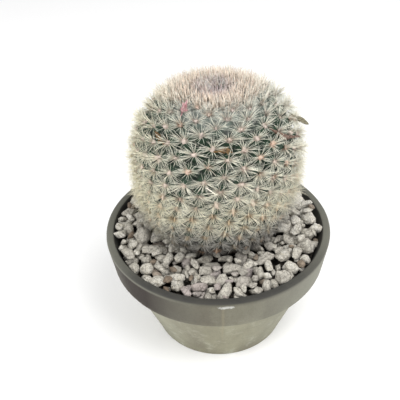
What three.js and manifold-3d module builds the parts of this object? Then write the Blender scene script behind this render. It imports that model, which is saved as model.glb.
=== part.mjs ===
// A round cactus with a starburst of spines on every tubercle, grown in a shallow clay pan
// whose top is dressed with pumice gravel. Millimetres, +Z up. The origin is the centre of the
// pot's foot, on the surface that it stands on, and -Y is the side seen from the front.
import * as THREE from 'three';
import { mergeVertices } from 'three/addons/utils/BufferGeometryUtils.js';
import { ConvexHull } from 'three/addons/math/ConvexHull.js';
import { ConvexGeometry } from 'three/addons/geometries/ConvexGeometry.js';
import Module from 'manifold-3d';

const wasm = await Module();
wasm.setup();

// Clearance between pieces that rest on each other
const GAP = 0.3;
const RADIANS = Math.PI / 180;
// Corners closer than this are one corner
const MERGE_TOLERANCE = 1e-4;

// Clay pan: a tapered body with a deep collar round its mouth
const POT_HEIGHT = 80;
const RIM_RADIUS = 75;
const COLLAR_HEIGHT = 23.5;
const COLLAR_FOOT_RADIUS = 71.8;
const NECK_RADIUS = 66.3;
const FOOT_RADIUS = 45.5;
const LIP_WIDTH = 5.3;
const LIP_ROUND = 1.6;
const FOOT_ROUND = 1.2;
const FLOOR_THICKNESS = 7;
const DRAIN_RADIUS = 7;
const POT_SIDES = 64;
const TAPER = (NECK_RADIUS - FOOT_RADIUS) / (POT_HEIGHT - COLLAR_HEIGHT);

// Fill of the pan, from its floor up: potting mix, then a bed of gravel with stones on it
const MIX_TOP = 61.7;
const GRAVEL_BED_BOTTOM = 62;
const GRAVEL_BED_TOP = 72.5;
const GRAVEL_TOP_LIMIT = 79.4;
const FILL_SIDES = 48;
// The fill's round hole is faceted, so its clearance to the plant is a little over the gap
const FILL_CLEARANCE = GAP + 0.2;

// Gravel stones: broken pumice, each a hull of eight jittered corners
const STONE_SEED = 88;
const STONE_TRIES = 6000;
const STONE_COUNT = 130;
const STONE_SPACING = 6.6;
const STONE_HALF_WIDTH = [2.3, 3.5];
const STONE_FLATNESS = [0.62, 1];
const STONE_JITTER = 0.32;
const STONE_RISE = [0.8, 2.4];
const STONE_WALL_ROOM = 1.8;
const STONE_NECK_ROOM = 1;

// Plant body, measured to the tops of its tubercles: a superellipse above its widest level and
// another below it, carried on down to a plain woody neck that stands in the mix
const BODY_RADIUS = 51.2;
const WIDEST_HEIGHT = 134.9;
const CROWN_HEIGHT = 43.8;
const CROWN_POWER = 2.4;
const UNDERSIDE_HEIGHT = 66;
const UNDERSIDE_POWER = 3.15;
const UNDERSIDE_END = 80;
const OUTLINE_STEPS = 400;
// The clearance round the plant keeps one in this many of the outline's samples
const CLEARANCE_THINNING = 12;
const DIMPLE_RADIUS = 17;
const DIMPLE_DEPTH = 3;
const NECK_RINGS = [
  { radius: 33, height: 70, points: 18 },
  { radius: 22, height: 50, points: 14 },
];
// The plant stands a little behind the pan's centre and leans slightly forward
const PLANT_X = -0.6;
const PLANT_Y = 8.65;
const LEAN_X = 0.015;
const LEAN_Y = -0.07;

// Each tubercle stands this far round from the last one, in a spiral of 11, 18 and 29 rows, closer
// together on the young crown
const DIVERGENCE = -99.4 * RADIANS;
const SPIRAL_START = -76.8 * RADIANS;
const FIRST_TUBERCLE = 0.9;
const TUBERCLE_SPACING = 10.9;
const CROWN_SPACING = 8;
const CROWN_REACH = 40.6;
const LOWEST_TUBERCLE = 84;
const TUBERCLE_RELIEF = 0.4;

// Spines: six on each tubercle, three spread low and three raised, all steep on the crown
const SPINE_SEED = 4127;
const SPINE_ROOT = 0.55;
const LOW_SPINE = { length: 8.2, elevation: 20 * RADIANS };
const HIGH_SPINE = { length: 6.6, elevation: 54 * RADIANS };
const CROWN_SPINE = { length: 8, elevation: 68 * RADIANS };
const CROWN_BLEND = 0.6;
const SPINE_SPREAD = 0.12;
const SPINE_CLEARANCE = 0.8;
const SPINE_NEIGHBOURHOOD = 22;
const SPINE_SAMPLES = 12;
const SPINE_LIFT = 8 * RADIANS;
const SPINE_LIFT_TRIES = 9;
const SPINE_FLOOR = 80;

// What has flowered: dried flowers, a bud and a fruit, each a chain of spindles from point to point.
// A point is its azimuth in degrees from +X, its level on the body's outline, and how far it
// stands out from there.
const REMAINS = [
  { name: 'dried_flower_right', width: 4.2, thick: 3.6, color: '#8a6249',
    points: [[-42.1, 167.2, 1.2], [-33.6, 158.4, 1.4], [-16.6, 154, 3.6]] },
  { name: 'dried_flower_front', width: 4, thick: 3.6, color: '#a87a44',
    points: [[-94, 163.6, 1.2], [-83.5, 164.2, 1.4]] },
  { name: 'dried_flower_left', width: 3.6, thick: 3.4, color: '#9c7148',
    points: [[-149.9, 164.9, 1.2], [-138, 163.2, 1.4]] },
  { name: 'pink_bud', width: 5.4, thick: 5, color: '#c9838b',
    points: [[-137.9, 173.6, 0.2], [-137.1, 176.3, 6]] },
  { name: 'green_fruit', width: 4.6, thick: 4.4, color: '#6f7357',
    points: [[-3.5, 163, 1], [-10.3, 156, 8.3]] },
];
// Spindles run on past their points by this share of their width, and are fuller towards the far end
const SPINDLE_OVERRUN = 0.25;
const SPINDLE_STEPS = 5;
const SPINDLE_SIDES = 8;
const SPINDLE_FULLNESS = [0.82, 1.18];

const LOOKS = {
  pot: { color: '#a3a08e', roughness: 0.85 },
  potting_mix: { color: '#4a3a2c', roughness: 0.95 },
  pumice_gravel: { color: '#b9b3a8', roughness: 0.9 },
  cactus: { color: '#7f9a80', roughness: 0.7 },
};
const REMAIN_ROUGHNESS = 0.8;

// Seeded random numbers from 0 to 1, the same on every run
function randomSource(seed) {
  let state = seed;
  return () => {
    state = (state + 0x6d2b79f5) | 0;
    let mixed = Math.imul(state ^ (state >>> 15), 1 | state);
    mixed = (mixed + Math.imul(mixed ^ (mixed >>> 7), 61 | mixed)) ^ mixed;
    return ((mixed ^ (mixed >>> 14)) >>> 0) / 4294967296;
  };
}

const between = (random, [low, high]) => low + (high - low) * random();

// Solid and geometry, one turned into the other
function solidOf(geometry) {
  const bare = geometry.clone();
  bare.deleteAttribute('normal');
  bare.deleteAttribute('uv');
  const merged = mergeVertices(bare, MERGE_TOLERANCE);
  return new wasm.Manifold(new wasm.Mesh({
    numProp: 3,
    vertProperties: merged.attributes.position.array,
    triVerts: new Uint32Array(merged.index.array),
  }));
}

function geometryOf(solid) {
  const mesh = solid.getMesh();
  const geometry = new THREE.BufferGeometry();
  geometry.setAttribute('position', new THREE.BufferAttribute(mesh.vertProperties, 3));
  geometry.setIndex(new THREE.BufferAttribute(mesh.triVerts, 1));
  geometry.computeVertexNormals();
  return geometry;
}

// A cut can leave loose scraps, which are dropped
function largestBody(solid) {
  return solid.decompose().reduce((a, b) => (a.volume() > b.volume() ? a : b));
}

// A profile of [radius, height] pairs turned round the vertical axis
function turned(profile, sides) {
  const points = profile.map(([radius, height]) => new THREE.Vector2(radius, height));
  return new THREE.LatheGeometry(points, sides).rotateX(Math.PI / 2);
}

// Points of an arc in a profile, from one angle to another in degrees
function arc(centreRadius, centreHeight, radius, from, to, steps) {
  const points = [];
  for (let i = 0; i <= steps; i++) {
    const angle = (from + ((to - from) * i) / steps) * RADIANS;
    points.push([centreRadius + radius * Math.cos(angle), centreHeight + radius * Math.sin(angle)]);
  }
  return points;
}

// Radius of the pan's inner wall, which tapers as its outside does
function innerRadius(height) {
  return RIM_RADIUS - LIP_WIDTH - TAPER * (POT_HEIGHT - height);
}

function pot() {
  const collarFoot = POT_HEIGHT - COLLAR_HEIGHT;
  const innerLip = RIM_RADIUS - LIP_WIDTH;
  const profile = [
    [DRAIN_RADIUS, 0],
    ...arc(FOOT_RADIUS - FOOT_ROUND, FOOT_ROUND, FOOT_ROUND, -90, 0, 2),
    [NECK_RADIUS, collarFoot],
    ...arc(COLLAR_FOOT_RADIUS - LIP_ROUND, collarFoot + LIP_ROUND, LIP_ROUND, -90, 0, 2),
    ...arc(RIM_RADIUS - LIP_ROUND, POT_HEIGHT - LIP_ROUND, LIP_ROUND, 0, 90, 3),
    ...arc(innerLip + LIP_ROUND, POT_HEIGHT - LIP_ROUND, LIP_ROUND, 90, 180, 2),
    [innerRadius(FLOOR_THICKNESS), FLOOR_THICKNESS],
    [DRAIN_RADIUS, FLOOR_THICKNESS],
    [DRAIN_RADIUS, 0],
  ];
  return turned(profile, POT_SIDES);
}

// Outline of the body from the crown to the foot of its neck, as samples that hold the radius,
// height, outward normal, number of tubercles so far, and the latitude of a map to a sphere that
// keeps angles
function bodyOutline() {
  const line = [];
  for (let i = 1; i <= OUTLINE_STEPS; i++) {
    const angle = (Math.PI / 2) * (1 - i / OUTLINE_STEPS);
    const radius = BODY_RADIUS * Math.cos(angle) ** (2 / CROWN_POWER);
    const rise = CROWN_HEIGHT * Math.sin(angle) ** (2 / CROWN_POWER);
    const dimple = DIMPLE_DEPTH * Math.max(0, 1 - (radius / DIMPLE_RADIUS) ** 2) ** 2;
    line.push({ radius, height: WIDEST_HEIGHT + rise - dimple });
  }
  for (let i = 1; i < OUTLINE_STEPS; i++) {
    const angle = (Math.PI / 2) * (i / OUTLINE_STEPS);
    const height = WIDEST_HEIGHT - UNDERSIDE_HEIGHT * Math.sin(angle) ** (2 / UNDERSIDE_POWER);
    if (height < UNDERSIDE_END) break;
    line.push({ radius: BODY_RADIUS * Math.cos(angle) ** (2 / UNDERSIDE_POWER), height });
  }
  for (const ring of NECK_RINGS) line.push({ radius: ring.radius, height: ring.height });
  line[0].along = line[0].radius;
  line[0].count = 0;
  line[0].latitude = Math.log(line[0].radius);
  for (let i = 1; i < line.length; i++) {
    const [last, here] = [line[i - 1], line[i]];
    const run = Math.hypot(here.radius - last.radius, here.height - last.height);
    const radius = (here.radius + last.radius) / 2;
    here.along = last.along + run;
    here.spacing = spacingAt(here.along);
    here.count = last.count + (2 * Math.PI * radius * run) / ((here.spacing ** 2 * Math.sqrt(3)) / 2);
    here.latitude = last.latitude + run / radius;
    here.normal = [(last.height - here.height) / run, (here.radius - last.radius) / run];
  }
  line[0].normal = [0, 1];
  line[0].spacing = CROWN_SPACING;
  return line;
}

function spacingAt(along) {
  const grown = Math.min(1, along / CROWN_REACH);
  return CROWN_SPACING + (TUBERCLE_SPACING - CROWN_SPACING) * grown;
}

// A point of the plant at an azimuth, radius and height about its own leaning axis
function plantPoint(azimuth, radius, height) {
  const rise = height - POT_HEIGHT;
  return new THREE.Vector3(
    PLANT_X + LEAN_X * rise + radius * Math.cos(azimuth),
    PLANT_Y + LEAN_Y * rise + radius * Math.sin(azimuth),
    height,
  );
}

// Its place on the unit sphere, where a convex hull finds each tubercle's neighbours
function spherePoint(azimuth, latitude) {
  const polar = 2 * Math.atan(Math.exp(latitude));
  return new THREE.Vector3(
    Math.sin(polar) * Math.cos(azimuth),
    Math.sin(polar) * Math.sin(azimuth),
    Math.cos(polar),
  );
}

function tubercleTips(line) {
  const middle = line.find((sample) => sample.height < WIDEST_HEIGHT).latitude;
  const last = line.findLast((sample) => sample.height > LOWEST_TUBERCLE);
  const tips = [];
  for (let n = 0; n + FIRST_TUBERCLE < last.count; n++) {
    const sample = line.find((candidate) => candidate.count >= n + FIRST_TUBERCLE);
    const azimuth = SPIRAL_START + n * DIVERGENCE;
    const [out, up] = sample.normal;
    tips.push({
      point: plantPoint(azimuth, sample.radius, sample.height),
      normal: new THREE.Vector3(out * Math.cos(azimuth), out * Math.sin(azimuth), up),
      sphere: spherePoint(azimuth, sample.latitude - middle),
      spacing: sample.spacing,
      along: sample.along,
      sectors: [],
    });
  }
  return { tips, middle };
}

// Plain points below the tubercles: the neck's rings, and the middle of its foot
function neckPoints(line, middle) {
  const points = [];
  for (const ring of NECK_RINGS) {
    const sample = line.find((candidate) => candidate.height === ring.height);
    for (let i = 0; i < ring.points; i++) {
      const azimuth = (2 * Math.PI * i) / ring.points;
      points.push({
        point: plantPoint(azimuth, ring.radius, ring.height),
        sphere: spherePoint(azimuth, sample.latitude - middle),
      });
    }
  }
  const foot = NECK_RINGS.at(-1);
  points.push({ point: plantPoint(0, 0, foot.height), sphere: new THREE.Vector3(0, 0, -1) });
  return points;
}

// Faces of the hull of the points on the sphere, as triples of point numbers
function neighbourFaces(knots) {
  const numberOf = new Map(knots.map((knot, index) => [knot.sphere, index]));
  const hull = new ConvexHull().setFromPoints(knots.map((knot) => knot.sphere));
  return hull.faces.map((face) => {
    const start = face.edge;
    return [start, start.next, start.next.next].map((edge) => numberOf.get(edge.head().point));
  });
}

// The hollow between three neighbouring tubercles
function hollowOf(face, knots) {
  const corners = face.map((index) => knots[index]);
  const middle = new THREE.Vector3();
  corners.forEach((corner) => middle.addScaledVector(corner.point, 1 / 3));
  const tips = corners.filter((corner) => corner.normal);
  tips.forEach((tip) => middle.addScaledVector(tip.normal, (-TUBERCLE_RELIEF * tip.spacing) / 3));
  return middle;
}

// Shortest distance between two segments, by sampling one of them
function segmentGap(a, b, c, d) {
  const line = new THREE.Line3(c, d);
  const [sample, nearest] = [new THREE.Vector3(), new THREE.Vector3()];
  let least = Infinity;
  for (let i = 0; i <= SPINE_SAMPLES; i++) {
    sample.lerpVectors(a, b, i / SPINE_SAMPLES);
    line.closestPointToPoint(sample, true, nearest);
    least = Math.min(least, sample.distanceTo(nearest));
  }
  return least;
}

// Where a spine ends: it rises more steeply until it clears the spines that are there already
function spineEnd(tip, direction, kind, standing, random) {
  const crown = Math.max(0, 1 - tip.along / CROWN_REACH) ** CROWN_BLEND;
  const blend = (key) => kind[key] + (CROWN_SPINE[key] - kind[key]) * crown;
  const length = blend('length') * (1 + SPINE_SPREAD * (2 * random() - 1));
  let elevation = blend('elevation');
  const end = new THREE.Vector3();
  const others = standing.filter((spine) => spine.tip !== tip);
  const near = others.filter((spine) => spine.end.distanceTo(tip.point) < SPINE_NEIGHBOURHOOD);
  const clear = (spine) => segmentGap(tip.point, end, spine.tip.point, spine.end) > SPINE_CLEARANCE;
  for (let i = 0; i < SPINE_LIFT_TRIES; i++) {
    end.copy(tip.point).addScaledVector(direction, length * Math.cos(elevation));
    end.addScaledVector(tip.normal, length * Math.sin(elevation));
    end.z = Math.max(end.z, SPINE_FLOOR);
    if (near.every(clear)) break;
    elevation += SPINE_LIFT;
  }
  standing.push({ tip, end });
  return end;
}

function cactus(sockets) {
  const random = randomSource(SPINE_SEED);
  const line = bodyOutline();
  const { tips, middle } = tubercleTips(line);
  const knots = [...tips, ...neckPoints(line, middle)];
  const faces = neighbourFaces(knots);
  const hollows = faces.map((face) => hollowOf(face, knots));

  const leftFace = new Map();
  faces.forEach((face, index) => {
    face.forEach((corner, k) => leftFace.set(`${corner},${face[(k + 1) % 3]}`, index));
  });

  const triangles = [];
  const add = (...corners) => triangles.push(...corners.flatMap((corner) => corner.toArray()));
  for (const [edge, left] of leftFace) {
    const [from, to] = edge.split(',').map(Number);
    const right = leftFace.get(`${to},${from}`);
    const knot = knots[from];
    if (knot.sectors) knot.sectors.push({ low: hollows[right], high: hollows[left] });
    else add(knot.point, hollows[right], hollows[left]);
  }

  const standing = [];
  for (const tip of tips) {
    const east = new THREE.Vector3(0, 0, 1).cross(tip.normal).normalize();
    const north = new THREE.Vector3().crossVectors(tip.normal, east);
    for (const sector of tip.sectors) {
      sector.direction = sector.low.clone().add(sector.high).multiplyScalar(0.5).sub(tip.point);
      sector.direction.projectOnPlane(tip.normal).normalize();
      sector.bearing = Math.atan2(sector.direction.dot(north), sector.direction.dot(east));
    }
    tip.sectors.sort((a, b) => a.bearing - b.bearing);
    tip.sectors.forEach((sector, index) => {
      const shoulder = (hollow) => {
        const step = hollow.clone().sub(tip.point).setLength(SPINE_ROOT);
        return step.add(tip.point);
      };
      const [low, high] = [shoulder(sector.low), shoulder(sector.high)];
      add(sector.low, sector.high, high);
      add(sector.low, high, low);
      const kind = index % 2 ? HIGH_SPINE : LOW_SPINE;
      const end = spineEnd(tip, sector.direction, kind, standing, random);
      add(low, high, end);
      add(high, tip.point, end);
      add(tip.point, low, end);
    });
  }
  const geometry = new THREE.BufferGeometry();
  geometry.setAttribute('position', new THREE.Float32BufferAttribute(triangles, 3));
  return largestBody(sockets.reduce((solid, socket) => solid.subtract(socket), solidOf(geometry)));
}

// The body's plain outline up to its widest level, let out by a margin: what the fill stays clear of
function clearanceRound(margin) {
  const outline = bodyOutline().filter((sample) => sample.height < WIDEST_HEIGHT).reverse();
  const isKept = (index) => index <= NECK_RINGS.length || index % CLEARANCE_THINNING === 0;
  const kept = outline.filter((sample, index) => isKept(index));
  const rings = kept.map((sample) => [sample.radius + margin, sample.height]);
  const foot = rings[0][1] - GAP;
  const profile = [[0, foot], [rings[0][0], foot], ...rings, [0, rings.at(-1)[1]]];
  const geometry = turned(profile, FILL_SIDES);
  const shear = new THREE.Matrix4().set(
    1, 0, LEAN_X, PLANT_X - LEAN_X * POT_HEIGHT,
    0, 1, LEAN_Y, PLANT_Y - LEAN_Y * POT_HEIGHT,
    0, 0, 1, 0,
    0, 0, 0, 1,
  );
  return solidOf(geometry.applyMatrix4(shear));
}

// Room inside the pan between two heights, a gap clear of its wall
function roomInPan(bottom, top) {
  return solidOf(turned([
    [0, bottom],
    [innerRadius(bottom) - GAP, bottom],
    [innerRadius(top) - GAP, top],
    [0, top],
  ], FILL_SIDES));
}

function pottingMix() {
  return roomInPan(FLOOR_THICKNESS + GAP, MIX_TOP).subtract(clearanceRound(FILL_CLEARANCE));
}

function stone(random, x, y) {
  const corners = [];
  for (const sx of [-1, 1]) {
    for (const sy of [-1, 1]) {
      for (const sz of [-1, 1]) {
        const jitter = () => 1 + STONE_JITTER * (2 * random() - 1);
        corners.push(new THREE.Vector3(sx * jitter(), sy * jitter(), sz * jitter()));
      }
    }
  }
  const turn = new THREE.Euler(random() * Math.PI, random() * Math.PI, random() * Math.PI);
  const half = between(random, STONE_HALF_WIDTH);
  return new ConvexGeometry(corners)
    .scale(half, half * between(random, STONE_FLATNESS), half * between(random, STONE_FLATNESS))
    .rotateX(turn.x)
    .rotateY(turn.y)
    .rotateZ(turn.z)
    .translate(x, y, GRAVEL_BED_TOP + between(random, STONE_RISE));
}

function gravel() {
  const random = randomSource(STONE_SEED);
  const reach = innerRadius(GRAVEL_BED_TOP) - STONE_WALL_ROOM;
  const around = plantPoint(0, 0, GRAVEL_BED_TOP);
  const neck = NECK_RINGS[0].radius;
  const places = [];
  let solid = roomInPan(GRAVEL_BED_BOTTOM, GRAVEL_BED_TOP);
  for (let i = 0; i < STONE_TRIES && places.length < STONE_COUNT; i++) {
    const [x, y] = [reach * (2 * random() - 1), reach * (2 * random() - 1)];
    if (Math.hypot(x, y) > reach) continue;
    if (Math.hypot(x - around.x, y - around.y) < neck + STONE_NECK_ROOM) continue;
    if (places.some((place) => Math.hypot(place[0] - x, place[1] - y) < STONE_SPACING)) continue;
    places.push([x, y]);
    solid = solid.add(solidOf(stone(random, x, y)));
  }
  solid = solid.intersect(roomInPan(GRAVEL_BED_BOTTOM, GRAVEL_TOP_LIMIT));
  solid = solid.subtract(clearanceRound(FILL_CLEARANCE));
  return largestBody(solid);
}

// A point of a flower, bud or fruit, with the body's outward normal there
function seatOf([degrees, height, stand], line) {
  const sample = line.findLast((candidate) => candidate.height > height);
  const azimuth = degrees * RADIANS;
  const [out, up] = sample.normal;
  const normal = new THREE.Vector3(out * Math.cos(azimuth), out * Math.sin(azimuth), up);
  const place = plantPoint(azimuth, sample.radius, sample.height).addScaledVector(normal, stand);
  return { place, normal };
}

// A spindle between two seats, let out all round by a margin
function spindle(from, to, width, thick, margin) {
  const profile = [];
  for (let i = 0; i <= SPINDLE_STEPS; i++) {
    const along = i / SPINDLE_STEPS;
    const radius = Math.sin(Math.PI * along) * THREE.MathUtils.lerp(...SPINDLE_FULLNESS, along);
    profile.push([i === 0 || i === SPINDLE_STEPS ? 0 : radius / 2, along - 0.5]);
  }
  const long = to.place.clone().sub(from.place);
  const length = long.length() + 2 * SPINDLE_OVERRUN * width;
  const across = new THREE.Vector3().crossVectors(from.normal, long).normalize();
  long.normalize();
  const rise = new THREE.Vector3().crossVectors(long, across);
  const centre = from.place.clone().lerp(to.place, 0.5);
  const frame = new THREE.Matrix4().makeBasis(across, rise, long).setPosition(centre);
  return turned(profile, SPINDLE_SIDES)
    .scale(width + 2 * margin, thick + 2 * margin, length + 2 * margin)
    .applyMatrix4(frame);
}

function remainSolid(remain, margin) {
  const line = bodyOutline();
  const seats = remain.points.map((point) => seatOf(point, line));
  const parts = seats.slice(1).map((seat, index) => (
    solidOf(spindle(seats[index], seat, remain.width, remain.thick, margin))
  ));
  return wasm.Manifold.union(parts);
}

function namedMesh(name, geometry, { color, roughness }) {
  const material = new THREE.MeshStandardMaterial({ color, roughness, metalness: 0 });
  const mesh = new THREE.Mesh(geometry, material);
  mesh.name = name;
  return mesh;
}

const sockets = REMAINS.map((remain) => remainSolid(remain, GAP));
const group = new THREE.Group();
group.add(namedMesh('pot', pot(), LOOKS.pot));
group.add(namedMesh('potting_mix', geometryOf(pottingMix()), LOOKS.potting_mix));
group.add(namedMesh('pumice_gravel', geometryOf(gravel()), LOOKS.pumice_gravel));
group.add(namedMesh('cactus', geometryOf(cactus(sockets)), LOOKS.cactus));
for (const remain of REMAINS) {
  const look = { color: remain.color, roughness: REMAIN_ROUGHNESS };
  group.add(namedMesh(remain.name, geometryOf(remainSolid(remain, 0)), look));
}

export default group;
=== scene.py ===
"""Round cactus in a shallow clay pan with a pumice top dressing: the finish of every surface.

Sizes are millimetres, as a grower would measure them, and every mesh is written in metres. The
materials and the studio are laid out in metres too. The pan's foot stands on the floor at the
origin, and -Y is the front.
"""

import functools
import math

import bmesh
import bpy
import numpy as np
from mathutils import Matrix, Vector, noise


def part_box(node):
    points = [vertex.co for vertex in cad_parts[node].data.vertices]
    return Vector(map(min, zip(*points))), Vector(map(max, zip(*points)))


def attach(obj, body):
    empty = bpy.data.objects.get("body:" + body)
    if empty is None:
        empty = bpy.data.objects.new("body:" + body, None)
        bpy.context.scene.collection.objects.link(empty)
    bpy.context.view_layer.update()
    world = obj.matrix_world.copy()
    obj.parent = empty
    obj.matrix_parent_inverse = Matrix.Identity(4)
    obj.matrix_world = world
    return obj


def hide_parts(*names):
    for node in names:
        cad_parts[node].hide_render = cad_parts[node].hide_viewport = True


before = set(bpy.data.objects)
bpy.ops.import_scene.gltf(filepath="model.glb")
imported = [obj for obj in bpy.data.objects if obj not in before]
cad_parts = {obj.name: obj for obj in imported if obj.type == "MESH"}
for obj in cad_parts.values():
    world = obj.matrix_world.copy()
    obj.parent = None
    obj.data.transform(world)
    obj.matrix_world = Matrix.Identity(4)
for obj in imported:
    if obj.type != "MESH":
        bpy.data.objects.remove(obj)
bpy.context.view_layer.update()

bl_info = {
    "name": "Potted round cactus",
    "version": (1, 0, 0),
    "blender": (4, 5, 0),
    "location": "View3D > Sidebar > Potted cactus",
    "description": "Builds a spiny round cactus in a clay pan dressed with pumice gravel",
    "category": "Add Mesh",
}

MM = 0.001

# The pan's height and rim come from the frame, the rest of its profile from these measures
POT_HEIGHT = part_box("pot")[1][2] / MM
RIM_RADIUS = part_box("pot")[1][0] / MM
NECK_RADIUS = 66.3
FOOT_RADIUS = 45.5
COLLAR_FOOT_RADIUS = 71.8
FLOOR_THICKNESS = 7.0
DRAIN_RADIUS = 7.0
# How far its edges are rounded, at the collar and at the foot
EDGE = 1.6
FOOT_EDGE = 1.2
PAN_SIDES = 224
# The scar of a label on the collar, in metres
SCAR_AZIMUTH = math.radians(-88.5)
SCAR_HALF_ANGLE = math.radians(4.0)
SCAR_HEIGHT = 0.0765
SCAR_HALF_HEIGHT = 0.0015

# The plant body's outline, measured to the tops of its tubercles
WIDEST_HEIGHT = 134.9
CROWN_RISE = 43.8
CROWN_POWER = 2.4
UNDERSIDE_DROP = 66.0
UNDERSIDE_POWER = 3.15
UNDERSIDE_END = 80.0
DIMPLE_RADIUS = 17.0
DIMPLE_DEPTH = 3.0
NECK_RINGS = ((33.0, 70.0), (22.0, 50.0))
OUTLINE_STEPS = 400
BODY_ROWS = 220
BODY_COLUMNS = 330
# Where the plant's axis meets the level of the rim, and how far it leans for each millimetre up
PLANT_PLACE = np.array([-0.6, 8.65, 0.0])
PLANT_LEAN = np.array([0.015, -0.07, 0.0])

# Each tubercle stands this far round from the last one: the spiral of 11, 18 and 29 rows
DIVERGENCE = math.radians(-99.4)
SPIRAL_START = math.radians(-76.8)
# Tubercles stand this far apart in the crown's middle, and their full distance from this reach on
CROWN_SPACING = 8.0
CROWN_REACH = 40.6
FIRST_TUBERCLE = 0.9
LOWEST_TUBERCLE = 84.0
AXIS_SPREAD = 0.16
# The share of their usual spines that areoles bear, drawn between two limits
VIGOUR = (0.72, 1.12)
# Distances along the outline: the crown's end, and the middle and half width of the shoulder
CROWN_END = 30.0
SHOULDER = 42.0
SHOULDER_HALF = 24.0
# Ages run from 0 at the crown to 1 at the foot: where old growth and the foot begin and are full
OLD_AGES = (0.58, 0.70)
FOOT_AGES = (0.74, 0.94)
# A tubercle's flat top and its slope, as shares of its spacing, and how the slope bends
TUBERCLE_TOP = 0.07
TUBERCLE_SLOPE = 0.53
SLOPE_CURVE = 1.25
# The body is smooth below the first of these levels and has its full relief above the second
RELIEF_LEVELS = (78.0, 86.0)

# Where along its length a needle has its two rings and its tip, and its width at the rings
NEEDLE_LEVELS = np.array([0.0, 0.55, 1.0])
NEEDLE_SWELL = np.array([1.0, 0.72])
NEEDLE_POINTS = 7
SPINE_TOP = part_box("cactus")[1][2] / MM - 0.2
# How deep a spine is rooted, and its length and width as shares of the usual
ROOT_DEPTH = 0.25
LENGTH_RANGE = (0.64, 1.26)
WIDTH_RANGE = (0.8, 1.15)
# Spread spines crowd towards the sides of an areole by this much of a radian
SIDEWAYS_PULL = 0.4
# Those that point up or down an areole are shorter by this share, which leaves dark gaps between rows
UPRIGHT_LOSS = 0.26
# How far a spine's end may turn from the way it set out
CURL = 0.3
# Spots that have lost their spines: azimuth in degrees, level on the outline, and radius
WORN_SPOTS = (
    (-77, 163.5, 3.6), (-66, 163, 2.6), (-152, 167.5, 3), (-146, 159.5, 2.6), (-99, 166.5, 2.4),
    (-31, 166, 2.6), (-118, 158, 2.2), (-104, 150, 2), (-58, 152, 2.2), (-88, 157, 2),
    (28, 160, 3), (75, 150, 2.6), (120, 166, 3), (158, 154, 2.4), (60, 128, 2.2),
)
WORN_SHARE = 0.75
# Both ends of a loose spine: azimuth in degrees, level on the outline, and distance out
FALLEN_SPINE = ((-98.1, 147.2, 6.6), (-89.3, 142.5, 6.6))
# Its width, its age and its place on the scales of tint and blush
FALLEN_VALUES = (0.9, 0.5, 1.0, 0.2)

# How far out the crown's bristles stand, by azimuth in degrees, and the crown's sunken middle
BRISTLE_EDGE = np.array([
    (-180, 35), (-165, 27), (-150, 22), (-135, 19.5), (-120, 20.5), (-90, 20), (-60, 20.5), (-30, 21),
    (0, 25), (15, 32), (30, 38), (60, 41), (90, 42), (150, 41), (170, 38), (180, 35)])
CROWN_MIDDLE = np.array([-2.0, 5.0])
GOLDEN_ANGLE = math.radians(137.50776)

# What has flowered: width, and the points that it runs through. A point is its azimuth in degrees
# from +X, its level on the body's outline, and how far it stands out from there.
REMAINS = {
    "dried_flower_right": (4.2, ((-42.1, 167.2, 1.2), (-33.6, 160.0, 1.6), (-16.6, 152.6, 3.8))),
    "dried_flower_front": (4.0, ((-94.0, 163.6, 1.2), (-83.5, 164.2, 1.4))),
    "dried_flower_left": (3.6, ((-149.9, 164.9, 1.2), (-138.0, 163.2, 1.4))),
    "pink_bud": (5.4, ((-137.9, 173.6, 0.2), (-137.1, 176.3, 6.0))),
    "green_fruit": (4.6, ((-3.5, 163.0, 1.0), (-10.3, 156.0, 8.3))),
}
# Each runs past its first point by this share of its width
ROOT_OVERRUN = 0.25
# Girth at four places along: even, on a thin stalk, or drawn out to a thin end
GIRTH_PLACES = (0, 0.42, 0.57, 1)
EVEN = (1, 1, 1, 1)
STALKED = (0.3, 0.3, 1, 1)
DRAWN_OUT = (1.25, 1.2, 0.55, 0.25)
# The thinnest that a dry or a plump one gets between its lumps, and how ragged its skin is
DRY = (0.5, 0.16)
PLUMP = (1.05, 0.05)
REMAINS_ROWS = 34
REMAINS_COLUMNS = 30
PETAL_ROWS = 12
PETAL_COLUMNS = 8
# How near a spine may come to a flower, bud or fruit, and how far out the room for it reaches
REMAINS_ROOM = 1.3
REMAINS_REACH = (0.0, 2.5)

# The largest stones in sight, listed one by one: x, y, turn in degrees, half length and half width
NOTED_STONES = (
    (-50, -9, 80, 6, 5), (-60, 16, 30, 5, 3.5), (-65, -7, -50, 4.5, 4), (-45, -22, 10, 5.5, 4),
    (-46, -38, 0, 4.5, 4), (-55, -37, -70, 5.5, 3), (-40, -50, -60, 5, 4), (-14, -56, 10, 4.5, 3.5),
    (-10, -41, 50, 5, 4), (6, -42, -10, 6, 3.5), (12, -54, 30, 4.5, 4), (24, -45, 80, 5.5, 3.5),
    (30, -33, 30, 7, 3.5), (40, -33, 70, 6, 4), (44, -41, -30, 5, 4), (37, -50, -40, 5, 4.5),
    (27, -58, 40, 4.5, 4), (57, -24, 50, 6, 5),
)
# Length, breadth and thickness of a stone as shares of its grade, each drawn between two limits
STONE_SHAPE = ((1.0, 1.65), (0.64, 0.98), (0.6, 0.85))
STONE_TILT = 0.35
# Half the length from which a stone is cut from the finer ball
BIG_STONE = 4.5
# Stones are settled on the grit; those that lie lower than this are covered by others
SEEN_STONE_HEIGHT = 71.5
# Levels of the bed that they settle on, and of the grit's top and foot
BED_LEVEL = 69.0
GRIT_LEVEL = 70.0
GRIT_FOOT = 62.2
# Radii of the grit's hole for the plant at its top and at its foot, and its distance from the wall
NECK_HOLE = 33.6
NECK_HOLE_FOOT = 29.4
GRIT_GAP = 0.4
GRIT_ROWS = 40
GRIT_COLUMNS = 200
# The gravel rises towards the back, from this y to its full rise at 0
BACK_RISE = 3.2
RISE_FRONT = -40.0
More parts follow.
